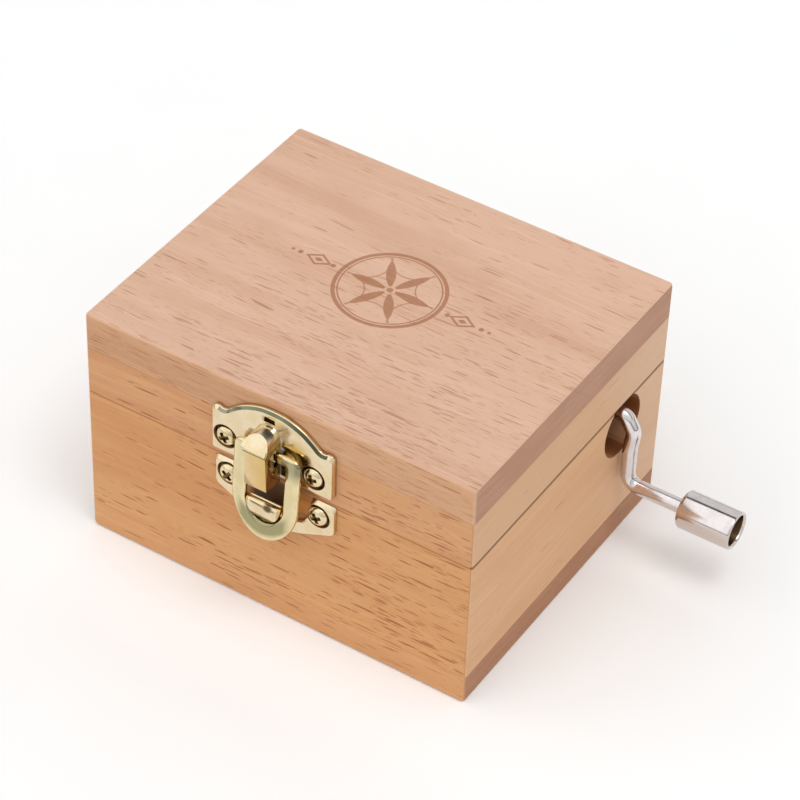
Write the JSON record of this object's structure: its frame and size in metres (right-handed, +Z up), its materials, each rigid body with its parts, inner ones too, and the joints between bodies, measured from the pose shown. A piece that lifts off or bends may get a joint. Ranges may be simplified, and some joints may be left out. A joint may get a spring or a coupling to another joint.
{
  "type": "hand-crank music box",
  "caption": "Small beech box with a hinged lid, a brass loop latch and a bent-wire hand crank that turns a pinned cylinder against a steel comb.",
  "frame": {"origin": "centre of the flat underside of the wooden case", "axes": "+X towards the crank side, -Y towards the latch (front), +Z up"},
  "size_m": [0.0837, 0.0623, 0.04],
  "materials": {
    "beech_panel": "bare sanded beech, end grain at the short ends",
    "beech_wall": "bare sanded beech",
    "plated_brass": "bright brass plate on stamped sheet",
    "hinge_brass": "brass plate, slightly duller",
    "brass_screw": "brass plate, cross recess",
    "bright_nickel": "bright nickel plate",
    "steel_screw": "zinc plate, cross recess",
    "cylinder_brass": "turned brass tube with fine pins",
    "worm_brass": "machined",
    "gear_nylon": "moulded",
    "comb_steel": "ground spring steel",
    "cast_frame": "die-cast zinc with a pale gold coat",
    "bracket_steel": "nickel-plated stamping"
  },
  "bodies": {
    "case": {"base_bottom_panel": "beech_panel", "base_front_wall": "beech_wall", "base_back_wall": "beech_wall", "base_left_wall": "beech_wall", "base_right_wall": "beech_wall", "latch_catch_plate": "plated_brass", "latch_screw_lower_left": "brass_screw", "latch_screw_lower_right": "brass_screw", "hinge_left_base_leaf": "hinge_brass", "hinge_right_base_leaf": "hinge_brass", "hinge_left_pin": "hinge_brass", "hinge_right_pin": "hinge_brass", "hinge_left_base_screw_outer": "brass_screw", "hinge_left_base_screw_inner": "brass_screw", "hinge_right_base_screw_outer": "brass_screw", "hinge_right_base_screw_inner": "brass_screw", "movement_frame": "cast_frame", "comb": "comb_steel", "comb_screw_front": "steel_screw", "comb_screw_back": "steel_screw", "crank_bracket": "bracket_steel", "bracket_screw_left": "steel_screw", "bracket_screw_right": "steel_screw", "mounting_screw_1": "steel_screw", "mounting_screw_2": "steel_screw", "mounting_screw_3": "steel_screw"},
    "lid": {"lid_top_panel": "beech_panel", "lid_front_wall": "beech_wall", "lid_back_wall": "beech_wall", "lid_left_wall": "beech_wall", "lid_right_wall": "beech_wall", "latch_strike_plate": "plated_brass", "latch_screw_upper_left": "brass_screw", "latch_screw_upper_right": "brass_screw", "hinge_left_lid_leaf": "hinge_brass", "hinge_right_lid_leaf": "hinge_brass", "hinge_left_lid_screw_outer": "brass_screw", "hinge_left_lid_screw_inner": "brass_screw", "hinge_right_lid_screw_outer": "brass_screw", "hinge_right_lid_screw_inner": "brass_screw"},
    "loop": {"latch_loop": "plated_brass"},
    "crank": {"crank_wire": "bright_nickel", "crank_worm": "worm_brass", "crank_pin_washer": "steel_screw"},
    "knob": {"crank_knob": "bright_nickel"},
    "cylinder": {"pinned_cylinder": "cylinder_brass", "cylinder_plug_front": "gear_nylon", "cylinder_plug_back": "gear_nylon", "cylinder_arbor": "bracket_steel", "cylinder_gear": "gear_nylon"}
  },
  "joints": [
    {"name": "lid_hinge", "type": "hinge", "parent": "case", "child": "lid", "pos_m": [0, 0.02765, 0.0258], "axis": [-1, 0, 0], "range_deg": [0, 105]},
    {"name": "loop_hinge", "type": "hinge", "parent": "lid", "child": "loop", "pos_m": [0.00025, -0.02858, 0.0321], "axis": [-1, 0, 0], "range_deg": [0, 165]},
    {"name": "crank_spin", "type": "hinge", "parent": "case", "child": "crank", "pos_m": [0, 0.0146, 0.0238], "axis": [1, 0, 0], "continuous": true},
    {"name": "cylinder_spin", "type": "hinge", "parent": "case", "child": "cylinder", "pos_m": [0.004, 0, 0.0155], "axis": [0, 1, 0], "continuous": true},
    {"name": "knob_spin", "type": "hinge", "parent": "crank", "child": "knob", "pos_m": [0.043, 0.0146, 0.01145], "axis": [1, 0, 0], "continuous": true}
  ],
  "couplings": [
    {"joint": "cylinder_spin", "follows": "crank_spin", "ratio": -0.041667}
  ]
}
